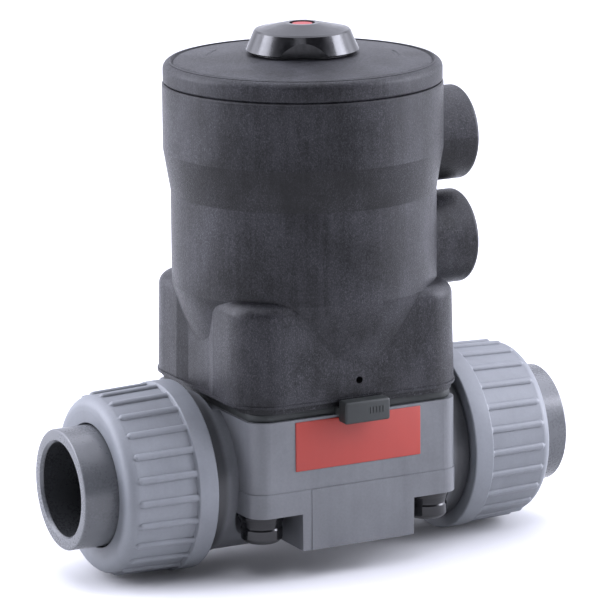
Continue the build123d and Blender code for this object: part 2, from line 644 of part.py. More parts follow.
cap_seal_r, cap_seal_minor = 13.5, 0.85
with BuildPart() as indicator_cap:
    add(
        turned(
            [
                (0, CAP_BASE_Z),
                (CAP_R0 - 0.3, CAP_BASE_Z),
                (CAP_R0, CAP_BASE_Z + 0.4),
                (CAP_R1 + 0.15, CAP_RIM_Z - 0.5),
                (CAP_R1 - 0.4, CAP_RIM_Z),
                (CAP_CROWN_R, CAP_TOP),
                (0, CAP_TOP),
            ]
        )
    )
    # Two wrench flats, where the cap happened to be tightened
    for turn in (0, 180):
        angle = radians(CAP_FLAT_ANGLE + turn)
        outward = Vector(-sin(angle), -cos(angle), 0)
        flat_origin = outward * CAP_FLAT + Vector(0, 0, CAP_BASE_Z)
        with BuildSketch(Plane(origin=flat_origin, x_dir=(cos(angle), -sin(angle), 0), z_dir=outward)):
            Rectangle(2 * CAP_R0, 2 * (CAP_TOP - CAP_BASE_Z))
        extrude(amount=CAP_R0, mode=Mode.SUBTRACT)
    nose_top = CAP_RIM_Z - 1
    add(turned([(0, CAP_NOSE_Z), (CAP_NOSE_R, CAP_NOSE_Z), (CAP_NOSE_R, nose_top), (0, nose_top)]))
    with BuildSketch(Plane.XY.offset(CAP_BASE_Z)):
        Circle(cap_seal_r + cap_seal_minor)
        Circle(cap_seal_r - cap_seal_minor, mode=Mode.SUBTRACT)
    extrude(amount=2 * cap_seal_minor, mode=Mode.SUBTRACT)
    with BuildSketch(Plane.XY.offset(CAP_NOSE_Z)):
        Circle(WINDOW_R)
    extrude(amount=CAP_TOP - CAP_NOSE_Z, mode=Mode.SUBTRACT)
save(indicator_cap.part, "indicator_cap")
save(o_ring(Plane.XY.offset(CAP_BASE_Z + cap_seal_minor), cap_seal_r, cap_seal_minor), "cap_seal")

rod = [
    (0, SPINDLE_TOP - SPIGOT_L),
    (TAP_R, SPINDLE_TOP - SPIGOT_L),
    (TAP_R, SPINDLE_TOP),
    (ROD_R, SPINDLE_TOP),
    (ROD_R, ROD_TOP - 0.4),
    (ROD_R - 0.4, ROD_TOP),
    (0, ROD_TOP),
]
save(turned(rod), "indicator_rod")
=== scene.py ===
from math import cos, pi, radians, sin

import bmesh
import bpy
import numpy as np
from mathutils import Matrix, Vector


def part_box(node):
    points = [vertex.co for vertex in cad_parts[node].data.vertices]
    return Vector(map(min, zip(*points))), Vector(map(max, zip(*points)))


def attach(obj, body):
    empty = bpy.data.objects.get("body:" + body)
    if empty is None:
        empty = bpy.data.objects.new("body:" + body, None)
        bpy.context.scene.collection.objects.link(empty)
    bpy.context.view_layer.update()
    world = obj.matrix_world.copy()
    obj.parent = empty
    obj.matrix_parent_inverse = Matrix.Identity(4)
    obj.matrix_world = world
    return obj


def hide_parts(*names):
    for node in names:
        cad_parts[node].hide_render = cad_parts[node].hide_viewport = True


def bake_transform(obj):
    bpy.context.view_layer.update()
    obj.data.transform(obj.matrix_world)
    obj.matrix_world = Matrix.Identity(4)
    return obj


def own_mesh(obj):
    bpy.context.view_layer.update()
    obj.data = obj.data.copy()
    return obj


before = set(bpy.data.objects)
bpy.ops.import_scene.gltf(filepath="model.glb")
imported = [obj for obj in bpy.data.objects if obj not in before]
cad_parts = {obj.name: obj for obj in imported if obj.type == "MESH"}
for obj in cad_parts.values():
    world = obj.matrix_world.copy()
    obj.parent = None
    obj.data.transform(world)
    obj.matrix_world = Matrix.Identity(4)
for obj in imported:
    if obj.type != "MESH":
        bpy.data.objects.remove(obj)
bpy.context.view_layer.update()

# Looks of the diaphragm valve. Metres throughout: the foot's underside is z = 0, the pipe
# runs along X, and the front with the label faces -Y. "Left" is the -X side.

# ------------------------------------------------------------------ driving sizes

SIDES = {"left": -1, "right": 1}
end_low, end_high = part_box("union_end_right")
nut_low, nut_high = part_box("union_nut_right")
rubber_low, rubber_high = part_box("diaphragm")
label_low, label_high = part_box("label_plate")

PIPE_Z = (end_low.z + end_high.z) / 2
FLOOR_Z = nut_low.z - 0.0002

# Union nut: a smooth rim, then a panel with half-round ribs, then a rounded shoulder
NUT_X0, NUT_X1 = nut_low.x, nut_high.x
NUT_RIM_R = (nut_high.z - nut_low.z) / 2
NUT_RIM_X = NUT_X0 + 0.0073
NUT_PANEL_R0, NUT_PANEL_R1 = NUT_RIM_R - 0.0014, NUT_RIM_R - 0.0021
NUT_SHOULDER = 0.0038
NUT_HOLE_R, NUT_WALL_X = 0.0213, 0.0758
NUT_BORE_R = 0.024
RIB_COUNT, RIB_HALF_W, RIB_H = 24, 0.0013, 0.001
RIB_END_X = NUT_X1 - 0.0037

# Trapezoidal union thread, the ridge on the body and the ridge in the nut
THREAD_PITCH, THREAD_CORE_R, THREAD_DEPTH = 0.00231, 0.0227, 0.00112
THREAD_X0, THREAD_X1 = 0.0515, 0.0684
THREAD_LEAD = 0.0012  # length over which the ridge fades out at both ends
RIDGE_REACH, RIDGE_FLANK = 0.36, 0.2  # half the ridge's foot and one flank, in pitches
THREAD_RINGS = 96
COLLAR_X0, COLLAR_X1 = 0.0431, 0.0455  # where the painted shade of the collar sets in

# Union end: flange inside the nut, socket for the pipe outside it
END_X0, END_X1 = end_low.x, end_high.x
END_FLANGE_X, END_FLANGE_R = 0.0756, (end_high.z - end_low.z) / 2
END_R, BORE_R = 0.02075, 0.0125
SOCKET_R, SOCKET_DEPTH = 0.0161, 0.022

# Clamping bolts and their caps
BOLT_X, BOLT_Y = 0.032, 0.0285
CAP_SKIRT_R, CAP_BULB_R = 0.0084, 0.0071
CAP_Z0, CAP_Z1 = 0.0028, 0.0127
WASHER_R, WASHER_Z = 0.00735, 0.0114
CAP_POCKET_R, CAP_POCKET_DEPTH = 0.0062, 0.0042

# Diaphragm: a clamped square rim with a tab, and a bowl
RIM_Z0, RIM_Z1 = 0.0461, 0.049
RIM_HALF_X, RIM_HALF_Y, RIM_CORNER_R, RIM_HOLE_R = 0.0388, 0.0376, 0.0065, 0.0225
BOWL_R_OUT, BOWL_R_IN, BOWL_CENTRE_Z = 0.02741, 0.02441, 0.06191
BOWL_REACH, BOWL_INNER_TURN = 0.0229, 0.30
BOSS_R, BOSS_Z0, BOSS_Z1 = 0.007, 0.0388, 0.041
STUD_NECK_R, STUD_HEAD_R = 0.003, 0.005
STUD_HEAD_Z0, STUD_HEAD_Z1 = 0.0362, 0.0376
TAB_HALF_W, TAB_Z0, TAB_Z1 = 0.0086, 0.044, 0.0516
TAB_FACE_INSET, TAB_BACK = 0.0002, 0.0057
WEB_Y0, WEB_Y1 = -0.0415, -0.034
BAR_COUNT, BAR_X0, BAR_PITCH = 5, 0.0008, 0.0012
BAR_W, BAR_TALL, BAR_RISE = 0.0005, 0.0022, 0.0003

# Lid
LID_R, LID_Z0 = 0.0477, 0.1541
LID_CREASE_R, LID_CREASE_Z = 0.0449, 0.1611
LID_TOP_R, LID_TOP_Z = 0.0203, 0.1636
LID_SEAT_R, LID_SEAT_Z = 0.017, 0.1645
LID_SKIRT_R0, LID_SKIRT_R1, LID_SKIRT_Z = 0.0395, 0.04345, 0.144
LID_BORE_R, LID_HUB_R, LID_HUB_Z, LID_UNDER_Z = 0.01005, 0.015, 0.150, 0.156
ARC_R, ARC_HALF_W, ARC_DEPTH = 0.0325, 0.0007, 0.0004
ARC_MIDDLES, ARC_HALF_TURN, ARC_FADE = (radians(-20), radians(139)), radians(11), radians(1.5)

# The taper between the housing's barrel and head is painted darkest between these heights, and
# the neck below NECK_Z is painted darker too
TAPER_Z0, TAPER_Z1 = 0.1169, 0.1314
NECK_Z = 0.0508

# Closing springs
END_TURN = 0.75  # turns at each end that are wound closed, each on the wire below


# ------------------------------------------------------------------ mesh helpers


def rounded(corners, closed=True, steps=6):
    """Points along an outline of (radius, height, rounding) corners, each turned by an arc."""
    points = []
    count = len(corners)
    for index, (radius, height, bend) in enumerate(corners):
        here = np.array((radius, height))
        if bend == 0 or (not closed and index in (0, count - 1)):
            points.append(here)
            continue
        back = np.array(corners[index - 1][:2]) - here
        ahead = np.array(corners[(index + 1) % count][:2]) - here
        back /= np.linalg.norm(back)
        ahead /= np.linalg.norm(ahead)
        half = np.arccos(np.clip(back @ ahead, -1, 1)) / 2
        middle = back + ahead
        centre = here + middle / np.linalg.norm(middle) * bend / sin(half)
        first = here + back * bend / np.tan(half) - centre
        last = here + ahead * bend / np.tan(half) - centre
        sweep = pi - 2 * half
        for step in np.linspace(0, 1, steps + 1):
            turn = sin((1 - step) * sweep) * first + sin(step * sweep) * last
            points.append(centre + turn / sin(sweep))
    return points


def along(start, end, count):
    """Points between two outline points, without the two themselves."""
    steps = np.linspace(0, 1, count + 2)[1:-1]
    return [np.array(start) * (1 - step) + np.array(end) * step for step in steps]


def new_piece(name, vertices, faces, place=None, sharp=32):
    """An object from vertices and faces, smooth except across sharp edges."""
    mesh = bpy.data.meshes.new(name)
    mesh.from_pydata([tuple(v) for v in vertices], [], faces)
    bm = bmesh.new()
    bm.from_mesh(mesh)
    bmesh.ops.remove_doubles(bm, verts=bm.verts, dist=1e-7)
    bmesh.ops.recalc_face_normals(bm, faces=bm.faces)
    bm.to_mesh(mesh)
    bm.free()
    if place is not None:
        mesh.transform(place)
    mesh.shade_smooth()
    mesh.set_sharp_from_angle(angle=radians(sharp))
    piece = bpy.data.objects.new(name, mesh)
    bpy.context.scene.collection.objects.link(piece)
    return piece


def turned(name, outline, place=None, angles=None, shift=None, closed=True, sharp=32):
    """A surface of revolution of (radius, height) points.

    shift(radius, height, angle) is added to the radius.
    """
    angles = np.linspace(0, 2 * pi, 193)[:-1] if angles is None else angles
    radius, height = np.array(outline).T[:, :, None]
    angle = np.asarray(angles)[None, :]
    radius = radius + 0 * angle
    height = height + 0 * angle
    if shift is not None:
        radius = radius + shift(radius, height, angle)
    vertices = np.stack([radius * np.cos(angle), radius * np.sin(angle), height], -1)
    rows, columns = radius.shape
    number = np.arange(rows * columns).reshape(rows, columns)
    faces = []
    for row in range(rows if closed else rows - 1):
        here, above = number[row], number[(row + 1) % rows]
        faces += [
            (int(here[k - 1]), int(here[k]), int(above[k]), int(above[k - 1]))
            for k in range(columns)
        ]
    return new_piece(name, vertices.reshape(-1, 3), faces, place, sharp)


def pipe_frame(side):
    """Local Z runs outward along the pipe on one side, from the valve's middle."""
    columns = [(0, 1, 0), (0, 0, side), (side, 0, 0)]
    rotation = Matrix(columns).transposed().to_4x4()
    return Matrix.Translation((0, 0, PIPE_Z)) @ rotation


def block(name, low, high, rounding, steps=4):
    """A box with rounded edges between two corners."""
    bm = bmesh.new()
    bmesh.ops.create_cube(bm, size=1)
    low, high = Vector(low), Vector(high)
    for vertex in bm.verts:
        vertex.co = Vector((a + (b - a) * (c + 0.5) for a, b, c in zip(low, high, vertex.co)))
    bmesh.ops.bevel(
        bm, geom=bm.edges[:], offset=rounding, segments=steps, affect="EDGES", profile=0.5
    )
    mesh = bpy.data.meshes.new(name)
    bm.to_mesh(mesh)
    bm.free()
    mesh.shade_smooth()
    mesh.set_sharp_from_angle(angle=radians(32))
    piece = bpy.data.objects.new(name, mesh)
    bpy.context.scene.collection.objects.link(piece)
    return piece


def joined(name, pieces):
    """One object holding the meshes of several."""
    whole = bmesh.new()
    for piece in pieces:
        whole.from_mesh(piece.data)
        bpy.data.objects.remove(piece)
    mesh = bpy.data.meshes.new(name)
    whole.to_mesh(mesh)
    whole.free()
    result = bpy.data.objects.new(name, mesh)
    bpy.context.scene.collection.objects.link(result)
    return result


def declare(piece, body, slot, material, *nodes):
    """Give a piece its body, its material and the nodes it replaces; `slot` is not used."""
    piece.data.materials.clear()
    piece.data.materials.append(material)
    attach(piece, body)
    if nodes:
        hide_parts(*nodes)
    return piece


# ------------------------------------------------------------------ materials


class Shade:
    """Short names for the nodes that the materials are made of."""

    def __init__(self, name, roughness, specular=0.5, metallic=0.0):
        self.material = bpy.data.materials.new(name)
        self.material.use_nodes = True
        self.tree = self.material.node_tree
        self.shader = self.tree.nodes["Principled BSDF"]
        self.shader.inputs["Roughness"].default_value = roughness
        self.shader.inputs["Specular IOR Level"].default_value = specular
        self.shader.inputs["Metallic"].default_value = metallic
        self.place = self.node("ShaderNodeTexCoord").outputs["Object"]

    def node(self, kind, **values):
        made = self.tree.nodes.new(kind)
        for key, value in values.items():
            setattr(made, key, value)
        return made

    def link(self, source, target):
        self.tree.links.new(source, target)

    def noise(self, size, detail=3.0, rough=0.5, stretch=(1, 1, 1), seed=0.0):
        """Noise whose features are about `size` metres, stretched along the axes by `stretch`."""
        mapping = self.node("ShaderNodeMapping")
        mapping.inputs["Scale"].default_value = [1 / (size * s) for s in stretch]
        mapping.inputs["Location"].default_value = (seed, seed * 0.7, seed * 0.3)
        self.link(self.place, mapping.inputs["Vector"])
        texture = self.node("ShaderNodeTexNoise")
        texture.inputs["Scale"].default_value = 1.0
        texture.inputs["Detail"].default_value = detail
        texture.inputs["Roughness"].default_value = rough
        self.link(mapping.outputs["Vector"], texture.inputs["Vector"])
        return texture.outputs["Fac"]

    def math(self, operation, first, second=0.0):
        made = self.node("ShaderNodeMath", operation=operation)
        for socket, value in zip(made.inputs, (first, second)):
            if isinstance(value, (int, float)):
                socket.default_value = value
            else:
                self.link(value, socket)
        return made.outputs[0]

    def spread(self, value, low, high, to_low, to_high):
        """Map a value's range to another, smoothly and with its ends held."""
        made = self.node("ShaderNodeMapRange", interpolation_type="SMOOTHSTEP")
        made.inputs["From Min"].default_value = low
        made.inputs["From Max"].default_value = high
        made.inputs["To Min"].default_value = to_low
        made.inputs["To Max"].default_value = to_high
        self.link(value, made.inputs["Value"])
        return made.outputs["Result"]

    def mottle(self, *weighted):
        """Noises around 0.5 added up with their weights, around 0.5 again."""
        total = 0.5
        for weight, noise in weighted:
            part = self.math("MULTIPLY", self.math("SUBTRACT", noise, 0.5), weight)
            total = self.math("ADD", part, total)
        return total

    def ramp(self, value, dark, light):
        """Colour from dark to light as the value goes from 0 to 1."""
        made = self.node("ShaderNodeValToRGB")
        made.color_ramp.elements[0].color = (*dark, 1)
        made.color_ramp.elements[1].color = (*light, 1)
        self.link(value, made.inputs["Fac"])
        return made.outputs["Color"]

    def mix(self, factor, first, second):
        made = self.node("ShaderNodeMix", data_type="RGBA")
        self.link(factor, made.inputs["Factor"])
        self.link(first, made.inputs["A"])
        self.link(second, made.inputs["B"])
        return made.outputs["Result"]

    def bump(self, height, depth):
        """Relief of `depth` metres between a height of 0 and 1."""
        made = self.node("ShaderNodeBump")
        made.inputs["Strength"].default_value = 1.0
        made.inputs["Distance"].default_value = depth
        self.link(height, made.inputs["Height"])
        self.link(made.outputs["Normal"], self.shader.inputs["Normal"])

    def axis(self, index):
        """Coordinate of the surface along X (0), Y (1) or Z (2), in metres."""
        split = self.node("ShaderNodeSeparateXYZ")
        self.link(self.place, split.inputs[0])
        return split.outputs[index]

    def finish(self, colour, roughness=None):
        self.link(colour, self.shader.inputs["Base Color"])
        if roughness is not None:
            self.link(roughness, self.shader.inputs["Roughness"])
        return self.material


def composite(name, dark, light, rough=(0.31, 0.48)):
    """Black glass-filled plastic: clouds, pale fibres, and streaks along the flow.

    The taper band and the neck are painted darker than the light alone would make them, and so,
    by a fifth as much, is all that lies above the band.
    """
    s = Shade(name, 0.5, specular=0.23)
    clouds = s.noise(0.02, 5, 0.62)
    fibres = s.noise(0.0007, 4, 0.8, stretch=(1, 1, 1.4))
    fine = s.noise(0.00036, 3, 0.75, stretch=(1, 1, 1.6), seed=9.0)
    flecks = s.spread(fine, 0.50, 0.68, 0, 1)
    streaks = s.noise(0.0022, 3, 0.6, stretch=(1, 1, 22), seed=4.0)
    value = s.mottle((2.6, clouds), (2.0, fibres), (1.1, streaks))
    colour = s.ramp(value, dark, light)

    height = s.axis(2)
    rise = s.spread(height, TAPER_Z0 - 0.0003, TAPER_Z0 + 0.0003, 0, 1)
    fall = s.spread(height, TAPER_Z1 - 0.0003, TAPER_Z1 + 0.0003, 1, 0.2)
    cloudy = s.spread(clouds, 0.35, 0.65, 0.98, 0.75)
    band = s.math("MULTIPLY", s.math("MULTIPLY", rise, fall), cloudy)
    neck = s.spread(height, NECK_Z - 0.0002, NECK_Z + 0.0002, 1, 0)
    shaded = s.ramp(value, [c * 0.3 for c in dark], [c * 0.3 for c in light])
    colour = s.mix(s.math("MAXIMUM", band, neck), colour, shaded)

    pale = s.ramp(value, [c * 1.5 + 0.006 for c in light], [c * 2.4 + 0.012 for c in light])
    dense = s.spread(clouds, 0.35, 0.65, 0.35, 0.8)
    sparse = s.math("SUBTRACT", dense, s.math("MULTIPLY", band, 0.3))
    colour = s.mix(s.math("MULTIPLY", flecks, sparse), colour, pale)
    roughness = s.spread(fibres, 0.3, 0.7, rough[1], rough[0])
    s.bump(s.mottle((0.8, fibres), (0.6, flecks)), 0.00005)
    return s.finish(colour, roughness)


def pvc(name, dark, light, rough, relief=0.00003, recess=None):
    """Moulded PVC: nearly even, with soft flow clouds and a fine satin grain.

    `recess` gives the share of a painted dark shade, for places deep between the pieces. The
    plastic isn't darker there: the paint stands in for shade that the studio doesn't give.
    """
    s = Shade(name, rough[0], specular=0.5)
    clouds = s.noise(0.018, 2, 0.5)
    grain = s.noise(0.0009, 3, 0.6, seed=2.0)
    flow = s.noise(0.004, 2, 0.5, stretch=(1, 1, 7), seed=5.0)
    value = s.mottle((1.0, clouds), (0.6, grain), (0.6, flow))
    roughness = s.spread(s.mottle((0.7, clouds), (0.6, grain)), 0.3, 0.7, rough[0], rough[1])
    s.bump(s.mottle((0.8, grain)), relief)
    colour = s.ramp(value, dark, light)
    if recess is not None:
        shaded = s.ramp(value, [c * 0.18 for c in dark], [c * 0.22 for c in light])
        colour = s.mix(recess(s), colour, shaded)
    return s.finish(colour, roughness)


def from_pipe_axis(s):
    """Distance of the surface from the pipe's axis."""
    up = s.math("SUBTRACT", s.axis(2), PIPE_Z)
    across_squared = s.math("MULTIPLY", s.axis(1), s.axis(1))
    squares = s.math("ADD", across_squared, s.math("MULTIPLY", up, up))
    return s.math("SQRT", squares)


def in_bore(s):
    """Painted shade inside the sockets and the flow passage: 0.9 there and 0 elsewhere."""
    return s.spread(from_pipe_axis(s), SOCKET_R, SOCKET_R + 0.0004, 0.9, 0)


def beside_nut(s):
    """Painted shade of the body: in_bore, and 0.85 on the collar and thread behind the nuts."""
    along_pipe = s.math("ABSOLUTE", s.axis(0))
    return s.math("MAXIMUM", s.spread(along_pipe, COLLAR_X0, COLLAR_X1, 0.0, 0.85), in_bore(s))


def rubber(name, dark, light):
    """Moulded rubber with a faint bloom."""
    s = Shade(name, 0.6, specular=0.35)
    bloom = s.noise(0.006, 4, 0.6)
    grain = s.noise(0.0004, 2, 0.6, seed=3.0)
    s.bump(grain, 0.00003)
    colour = s.ramp(s.mottle((0.9, bloom), (0.5, grain)), dark, light)
    return s.finish(colour, s.spread(bloom, 0.3, 0.7, 0.48, 0.7))


def machined(name, dark, light, rough):
    """Bright metal with fine tool marks and handling haze."""
    s = Shade(name, rough[0], metallic=1.0)
    marks = s.noise(0.0006, 3, 0.6)
    haze = s.noise(0.006, 3, 0.5, seed=6.0)
    s.bump(marks, 0.00001)
    colour = s.ramp(s.mottle((0.8, haze), (0.4, marks)), dark, light)
    return s.finish(colour, s.spread(haze, 0.3, 0.7, rough[0], rough[1]))


def polished(name, dark, light):
    """Polished black plastic with faint wiping marks."""
    s = Shade(name, 0.16, specular=0.48)
    wipes = s.noise(0.004, 4, 0.6, stretch=(1, 1, 3))
    grain = s.noise(0.0007, 2, 0.5, seed=8.0)
    s.bump(s.mottle((0.3, wipes), (0.25, grain)), 0.000012)
    colour = s.ramp(s.mottle((0.8, wipes), (0.4, grain)), dark, light)
    return s.finish(colour, s.spread(wipes, 0.35, 0.65, 0.13, 0.26))


def painted_floor():
    """A pale studio floor."""
    s = Shade("studio_floor", 0.9, specular=0.1)
    value = s.noise(0.4, 2, 0.5)
    return s.finish(s.ramp(value, (0.60, 0.60, 0.60), (0.63, 0.63, 0.63)))


MATERIALS = {
    "black_composite": composite(
        "black_composite", (0.0010, 0.0010, 0.0014), (0.0195, 0.0195, 0.0225)
    ),
    "lid_composite": composite(
        "lid_composite", (0.002, 0.002, 0.0026), (0.023, 0.023, 0.0265), (0.38, 0.5)
    ),
    "pvc_body": pvc(
        "pvc_body", (0.070, 0.073, 0.078), (0.124, 0.129, 0.136), (0.34, 0.44), recess=beside_nut
    ),
    "pvc_nut": pvc("pvc_nut", (0.120, 0.127, 0.138), (0.170, 0.181, 0.193), (0.44, 0.54)),
    "pvc_end": pvc(
        "pvc_end",
        (0.058, 0.061, 0.065),
        (0.096, 0.101, 0.106),
        (0.24, 0.32),
        relief=0.000006,
        recess=in_bore,
    ),
    "label_red": pvc(
        "label_red", (0.235, 0.016, 0.008), (0.285, 0.024, 0.014), (0.45, 0.55), relief=0.00001
    ),
    "indicator_red": pvc(
        "indicator_red", (0.24, 0.03, 0.032), (0.30, 0.042, 0.042), (0.5, 0.6), relief=0.00001
    ),
    "gloss_black": polished("gloss_black", (0.001, 0.001, 0.0012), (0.006, 0.006, 0.007)),
    "bolt_cap_plastic": polished(
        "bolt_cap_plastic", (0.0015, 0.0015, 0.0018), (0.006, 0.006, 0.007)
    ),
    "seal_rubber": rubber("seal_rubber", (0.012, 0.012, 0.012), (0.03, 0.03, 0.03)),
    "diaphragm_rubber": rubber(
        "diaphragm_rubber", (0.012, 0.014, 0.013), (0.028, 0.031, 0.0295)
    ),
    "inner_plastic": pvc("inner_plastic", (0.55, 0.54, 0.49), (0.68, 0.67, 0.62), (0.4, 0.5)),
    "steel": machined("steel", (0.42, 0.42, 0.42), (0.62, 0.62, 0.62), (0.22, 0.36)),
    "spring_steel": machined(
        "spring_steel", (0.28, 0.28, 0.29), (0.48, 0.48, 0.49), (0.28, 0.42)
    ),
    "brass": machined("brass", (0.5, 0.34, 0.13), (0.72, 0.53, 0.24), (0.24, 0.4)),
}

NODE_SLOTS = {
    "valve_body": "pvc_body",
    "union_nut_left": "pvc_nut",
    "union_nut_right": "pvc_nut",
    "union_end_left": "pvc_end",
    "union_end_right": "pvc_end",
    "union_seal_left": "seal_rubber",
    "union_seal_right": "seal_rubber",
    "mounting_inserts": "brass",
    "label_plate": "label_red",
    "body_bolts": "steel",
    "bolt_washers": "steel",
    "bolt_caps": "bolt_cap_plastic",
    "bolt_inserts": "brass",
    "diaphragm": "diaphragm_rubber",
    "diaphragm_stud": "steel",
    "compressor": "inner_plastic",
    "spindle": "steel",
    "spindle_bush": "inner_plastic",
    "spindle_seal": "seal_rubber",
    "actuator_housing": "black_composite",
    "piston": "inner_plastic",
    "piston_seal": "seal_rubber",
    "piston_nut": "steel",
    "spring_outer": "spring_steel",
    "spring_inner": "spring_steel",
    "actuator_lid": "lid_composite",
    "lid_seal": "seal_rubber",
    "indicator_cap": "gloss_black",
    "cap_seal": "seal_rubber",
    "indicator_rod": "indicator_red",
}


def finish_cad_nodes():
    """Every node kept from the CAD gets the material of its own slot."""
    for name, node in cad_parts.items():
        node.data.materials.clear()
        node.data.materials.append(MATERIALS[NODE_SLOTS[name]])


# ------------------------------------------------------------------ union nuts and ends


def thread_ridge(height, angle, offset):
    """Height of a right-hand trapezoidal thread, 0 in the groove and 1 on the ridge."""
    turn = (height / THREAD_PITCH - angle / (2 * pi) + offset) % 1.0
    flank = np.clip((RIDGE_REACH - np.abs(turn - 0.5)) / RIDGE_FLANK, 0, 1)
    lead_in = np.clip((height - THREAD_X0) / THREAD_LEAD, 0, 1)
    lead_out = np.clip((THREAD_X1 - height) / THREAD_LEAD, 0, 1)
    return flank * lead_in * lead_out


def nut_relief(radius, height, angle):
    """Ribs on the nut's panel, and the thread ridge in its bore."""
    pitch = 2 * pi / RIB_COUNT
    across = ((angle + pitch / 2) % pitch - pitch / 2) * radius
    past = np.maximum(height - (RIB_END_X - RIB_HALF_W), 0)
    reach = np.hypot(across, past) / RIB_HALF_W
    rib = RIB_H * np.sqrt(np.clip(1 - reach**2, 0, None))
    on_panel = (radius > NUT_PANEL_R1 - 0.0006) & (radius < NUT_PANEL_R0 + 0.0001)
    on_bore = np.abs(radius - NUT_BORE_R) < 0.0001
    ridge = -THREAD_DEPTH * thread_ridge(height, angle, 0.5)
    return np.where(on_panel & (height > NUT_RIM_X), rib, 0) + np.where(on_bore, ridge, 0)


def nut_outline():
    """The nut's closed section: rim, panel, shoulder, dished face, hole, bore."""
    panel_end = (NUT_PANEL_R1, NUT_X1 - NUT_SHOULDER)
    rib_start = NUT_RIM_X + 0.0006
    taper = (NUT_PANEL_R0 - NUT_PANEL_R1) / (panel_end[1] - NUT_RIM_X)
    ball = [RIB_END_X - RIB_HALF_W + RIB_HALF_W * sin(radians(a)) for a in range(0, 91, 9)]
    panel = [(NUT_PANEL_R0 - taper * (x - NUT_RIM_X), x) for x in (rib_start, *ball)]
    rim = rounded(
        [
            (NUT_PANEL_R0, NUT_RIM_X + 0.0003, 0),
            (NUT_RIM_R, NUT_RIM_X - 0.0002, 0.0005),
            (NUT_RIM_R, NUT_X0, 0.0006),
            (NUT_BORE_R, NUT_X0, 0.0006),
        ],
        closed=False,
    )
    bore = along((NUT_BORE_R, NUT_X0 + 0.001), (NUT_BORE_R, THREAD_X1 + 0.001), THREAD_RINGS)
    wall = [(NUT_BORE_R, NUT_WALL_X), (NUT_HOLE_R, NUT_WALL_X)]
    face = rounded(
        [
            (NUT_HOLE_R, NUT_WALL_X, 0),
            (NUT_HOLE_R, NUT_X1 - 0.0003, 0.0004),
            (NUT_PANEL_R1 - NUT_SHOULDER - 0.0012, NUT_X1, 0.003),
            (NUT_PANEL_R1, NUT_X1, NUT_SHOULDER),
            (NUT_PANEL_R1, NUT_X1 - NUT_SHOULDER - 0.0006, 0),
        ],
        closed=False,
        steps=10,
    )
    return rim[:-1] + bore + wall + face[1:-1] + panel[::-1]


def rib_angles():
    """Angles around the nut, close together on each rib."""
    half = RIB_HALF_W / NUT_PANEL_R1
    pitch = 2 * pi / RIB_COUNT
    on_rib = [half * sin(radians(a)) for a in range(-90, 91, 15)]
    between = [half + (pitch - 2 * half) * share for share in (0.12, 0.37, 0.63, 0.88)]
    return [pitch * k + offset for k in range(RIB_COUNT) for offset in (*on_rib, *between)]


def union_nut(side_name, side):
    name = f"ribbed_nut_{side_name}"
    nut = turned(name, nut_outline(), pipe_frame(side), rib_angles(), nut_relief, sharp=40)
    declare(nut, f"nut_{side_name}", "pvc_nut", MATERIALS["pvc_nut"], f"union_nut_{side_name}")


def union_end(side_name, side):
    """Flanged socket: eased edges, a lead-in chamfer and the shoulder that the pipe stops on."""
    outline = rounded(
        [
            (BORE_R, END_X0, 0.0003),
            (END_FLANGE_R, END_X0, 0.0004),
            (END_FLANGE_R, END_FLANGE_X, 0.0004),
            (END_R, END_FLANGE_X, 0.0003),
            (END_R, END_X1, 0.0007),
            (SOCKET_R + 0.0009, END_X1, 0.0002),
            (SOCKET_R, END_X1 - 0.0011, 0.0004),
            (SOCKET_R - 0.0002, END_X1 - SOCKET_DEPTH, 0.0003),
            (BORE_R, END_X1 - SOCKET_DEPTH, 0.0003),
        ]
    )
    end = turned(f"pipe_socket_{side_name}", outline, pipe_frame(side))
    declare(end, f"union_{side_name}", "pvc_end", MATERIALS["pvc_end"], f"union_end_{side_name}")


def body_thread(side_name, side):
    """The body's outside union thread, a sleeve of ridges on its plain core."""
    core = THREAD_CORE_R + 0.00003
    outer = along((core, THREAD_X0 - 0.0002), (core, THREAD_X1 + 0.0002), THREAD_RINGS)
    inner = [(core - 0.0004, THREAD_X1), (core - 0.0004, THREAD_X0)]

    def relief(radius, height, angle):
        ridge = THREAD_DEPTH * thread_ridge(height, angle, 0.0)
        return np.where(radius > core - 0.0001, ridge, 0)

    name = f"body_thread_{side_name}"
    thread = turned(name, outer + inner, pipe_frame(side), shift=relief, sharp=40)
    declare(thread, "root", "pvc_body", MATERIALS["pvc_body"])


# ------------------------------------------------------------------ body fittings


def label_plate():
    plate = block("label", label_low, label_high, 0.00035)
    declare(plate, "root", "label_red", MATERIALS["label_red"], "label_plate")


